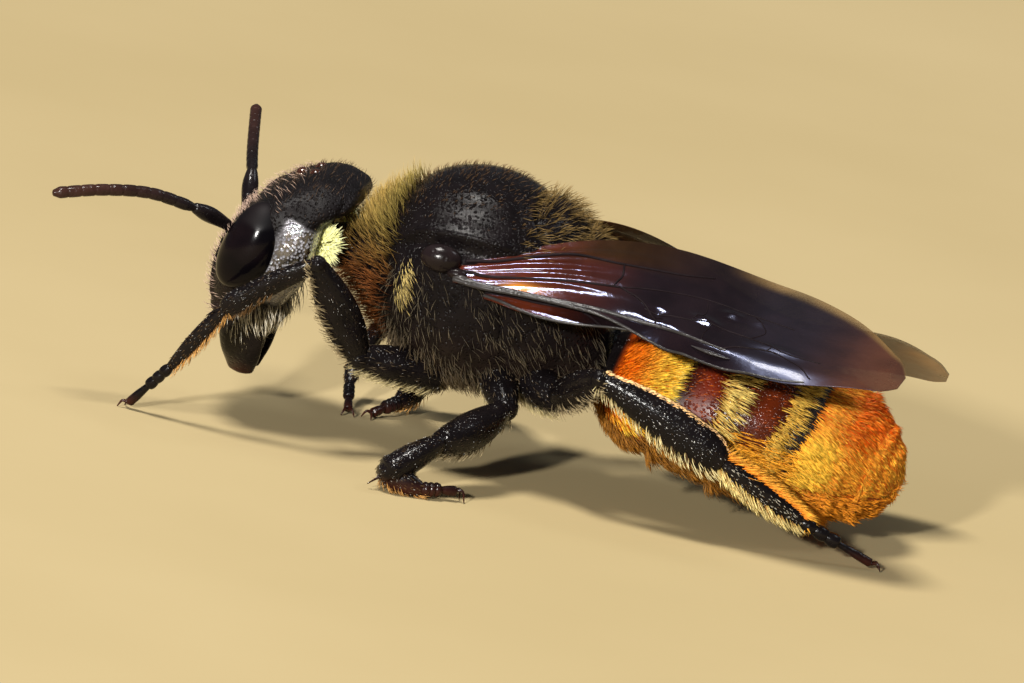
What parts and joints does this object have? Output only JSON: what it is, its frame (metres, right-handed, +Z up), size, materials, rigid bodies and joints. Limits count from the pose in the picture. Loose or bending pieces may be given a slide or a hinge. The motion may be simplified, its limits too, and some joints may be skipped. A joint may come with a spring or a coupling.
{
  "type": "resin bee",
  "caption": "Life-size still model of a black and amber resin bee standing on all its feet, with smoky wings folded over its back and its feelers held out.",
  "frame": {"origin": "on the floor, under the middle of the whole bee, in the body's plane of symmetry", "axes": "+Z up, the head faces -Y, the bee's left side is +X"},
  "size_m": [0.0094, 0.019, 0.0064],
  "materials": {
    "head": "glossy black shell, densely pitted, with short brown hair",
    "eye": "smooth polished black compound eye",
    "ocellus": "small polished dark amber lens",
    "mandible": "black, going to dark red-brown at the teeth",
    "antenna": "dull black, faintly red-brown towards the tip",
    "thorax": "pitted glossy black shell under a short brown and grey coat",
    "tegula": "smooth glossy black",
    "abdomen_amber": "dense amber-orange hair over a red-brown shell",
    "abdomen_dark": "glossy red-brown shell with golden hair bands",
    "wing": "dark smoky membrane with a violet sheen and raised veins",
    "leg": "glossy black with short brown hair"
  },
  "bodies": {
    "root": {"head": "head", "ocellus_middle": "ocellus", "ocellus_left": "ocellus", "ocellus_right": "ocellus", "eye_left": "eye", "mandible_left": "mandible", "antenna_left_scape": "antenna", "antenna_left_flagellum": "antenna", "eye_right": "eye", "mandible_right": "mandible", "antenna_right_scape": "antenna", "antenna_right_flagellum": "antenna", "thorax": "thorax", "abdomen_1": "abdomen_amber", "abdomen_2": "abdomen_dark", "abdomen_3": "abdomen_dark", "abdomen_4": "abdomen_amber", "abdomen_5": "abdomen_amber", "abdomen_6": "abdomen_amber", "forewing_left": "wing", "hindwing_left": "wing", "tegula_left": "tegula", "forewing_right": "wing", "hindwing_right": "wing", "tegula_right": "tegula", "foreleg_left_coxa": "leg", "foreleg_left_femur": "leg", "foreleg_left_tibia": "leg", "foreleg_left_tarsus": "leg", "midleg_left_coxa": "leg", "midleg_left_femur": "leg", "midleg_left_tibia": "leg", "midleg_left_tarsus": "leg", "hindleg_left_coxa": "leg", "hindleg_left_femur": "leg", "hindleg_left_tibia": "leg", "hindleg_left_tarsus": "leg", "foreleg_right_coxa": "leg", "foreleg_right_femur": "leg", "foreleg_right_tibia": "leg", "foreleg_right_tarsus": "leg", "midleg_right_coxa": "leg", "midleg_right_femur": "leg", "midleg_right_tibia": "leg", "midleg_right_tarsus": "leg", "hindleg_right_coxa": "leg", "hindleg_right_femur": "leg", "hindleg_right_tibia": "leg", "hindleg_right_tarsus": "leg"}
  },
  "joints": []
}
